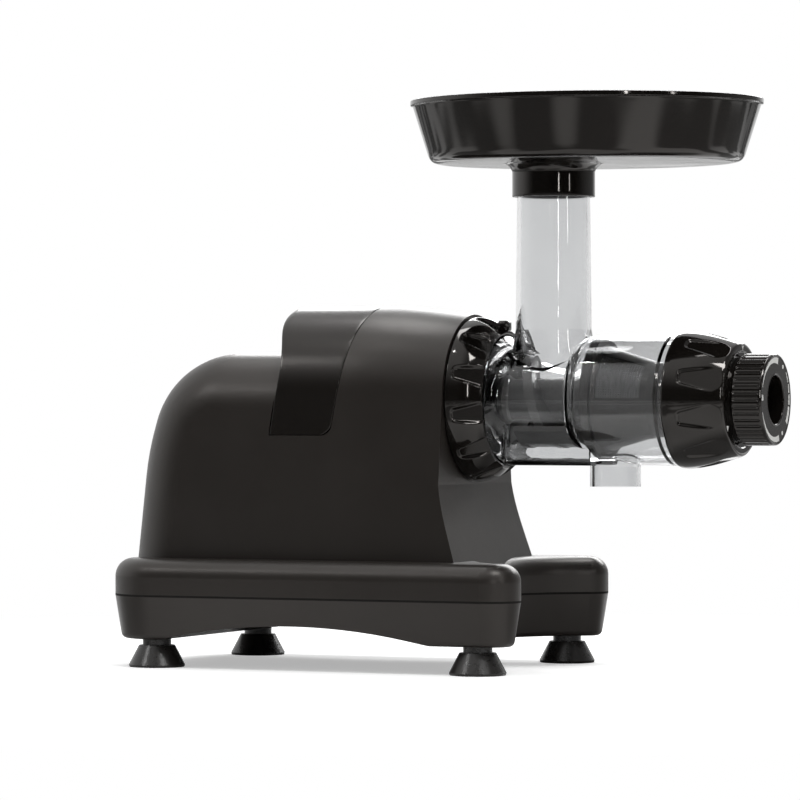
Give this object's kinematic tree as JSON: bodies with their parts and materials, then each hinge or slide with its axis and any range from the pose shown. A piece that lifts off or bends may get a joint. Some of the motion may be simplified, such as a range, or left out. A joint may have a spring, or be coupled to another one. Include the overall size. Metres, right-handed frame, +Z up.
{
  "type": "cold press juicer",
  "caption": "Horizontal masticating juicer: feed tray and tube over a clear drum with auger, turning end cap and pulp dial, on a long motor housing with rubber feet.",
  "frame": {"origin": "centre of the footprint on the worktop, under the middle of the length", "axes": "+X along the drive axis from the motor housing to the adjusting dial, +Z up, +Y to the far side"},
  "size_m": [0.445, 0.2068, 0.3748],
  "materials": {
    "housing_plastic": "fine texture, satin",
    "base_plastic": "fine texture, matt",
    "cover_plastic": "satin black",
    "gloss_black": "polished black",
    "smoke_clear": "clear smoke grey",
    "auger_plastic": "dark grey, satin",
    "screen_plastic": "dark grey, satin",
    "screen_steel": "perforated sheet",
    "foot_rubber": "smooth black",
    "seal_rubber": "grey",
    "switch_plastic": "black",
    "steel": "ground",
    "zinc_steel": "zinc plated",
    "cast_aluminium": "as cast",
    "lamination_steel": "stacked sheet",
    "copper_wire": "enamelled wire",
    "gear_plastic": "natural nylon",
    "fan_plastic": "matt",
    "capacitor_shell": "light grey"
  },
  "bodies": {
    "housing": {"upper_housing": "housing_plastic", "handle_cover": "cover_plastic", "lower_base": "base_plastic", "foot_front_left": "foot_rubber", "foot_front_right": "foot_rubber", "foot_rear_left": "foot_rubber", "foot_rear_right": "foot_rubber", "foot_screws": "zinc_steel", "housing_screws": "zinc_steel", "front_collar": "gloss_black", "collar_screws": "zinc_steel", "drum": "smoke_clear", "auger_seal": "seal_rubber", "screen_frame": "screen_plastic", "screen_mesh": "screen_steel", "gearbox_case": "cast_aluminium", "gearbox_cover": "cast_aluminium", "gearbox_screws": "zinc_steel", "counter_shaft": "steel", "output_bearing_front": "steel", "output_bearing_rear": "steel", "motor_bearing_front": "steel", "motor_bearing_rear": "steel", "shaft_seal": "seal_rubber", "stator": "lamination_steel", "windings": "copper_wire", "motor_front_bracket": "cast_aluminium", "motor_rear_bracket": "cast_aluminium", "motor_bolts": "zinc_steel", "motor_mounts": "foot_rubber", "motor_screws": "zinc_steel", "capacitor_clip": "zinc_steel", "run_capacitor": "capacitor_shell", "power_switch": "switch_plastic", "cord_gland": "foot_rubber"},
    "lock_ring": {"lock_ring": "gloss_black"},
    "end_cap": {"end_cap": "gloss_black", "cap_seal": "seal_rubber"},
    "adjust_dial": {"adjust_dial": "gloss_black"},
    "pulp_nozzle": {"pulp_nozzle": "screen_plastic"},
    "hopper_tray": {"hopper_tray": "gloss_black"},
    "rotor": {"rotor": "lamination_steel", "motor_shaft": "steel", "motor_pinion": "steel", "cooling_fan": "fan_plastic"},
    "countershaft": {"counter_gear": "gear_plastic", "counter_pinion": "steel"},
    "auger": {"auger": "auger_plastic", "auger_shaft": "steel", "output_shaft": "steel", "output_gear": "steel"},
    "switch_rocker": {"switch_rocker": "switch_plastic"}
  },
  "joints": [
    {"name": "lock_ring_turn", "type": "hinge", "parent": "housing", "child": "lock_ring", "pos_m": [0.0235, 0, 0.178], "axis": [1, 0, 0], "range_deg": [0, 45]},
    {"name": "end_cap_turn", "type": "hinge", "parent": "housing", "child": "end_cap", "pos_m": [0.179, 0, 0.178], "axis": [1, 0, 0], "range_deg": [0, 45]},
    {"name": "dial_turn", "type": "hinge", "parent": "end_cap", "child": "adjust_dial", "pos_m": [0.212, 0, 0.178], "axis": [1, 0, 0], "range_deg": [0, 144]},
    {"name": "nozzle_slide", "type": "slide", "parent": "end_cap", "child": "pulp_nozzle", "axis": [-1, 0, 0], "range_m": [0, 0.0031]},
    {"name": "tray_lift", "type": "slide", "parent": "housing", "child": "hopper_tray", "axis": [0, 0, 1], "range_m": [0, 0.03]},
    {"name": "rotor_spin", "type": "hinge", "parent": "housing", "child": "rotor", "pos_m": [-0.084, 0, 0.097], "axis": [1, 0, 0], "continuous": true},
    {"name": "counter_spin", "type": "hinge", "parent": "housing", "child": "countershaft", "pos_m": [-0.0135, 0, 0.133], "axis": [1, 0, 0], "continuous": true},
    {"name": "auger_spin", "type": "hinge", "parent": "housing", "child": "auger", "pos_m": [0.07, 0, 0.178], "axis": [1, 0, 0], "continuous": true},
    {"name": "switch_tilt", "type": "hinge", "parent": "housing", "child": "switch_rocker", "pos_m": [-0.2132, 0, 0.112], "axis": [0, 1, 0], "range_deg": [-12, 12]}
  ],
  "couplings": [
    {"joint": "nozzle_slide", "follows": "dial_turn", "m_per_rad": 0.0012},
    {"joint": "counter_spin", "follows": "rotor_spin", "ratio": -0.2},
    {"joint": "auger_spin", "follows": "rotor_spin", "ratio": 0.05}
  ]
}
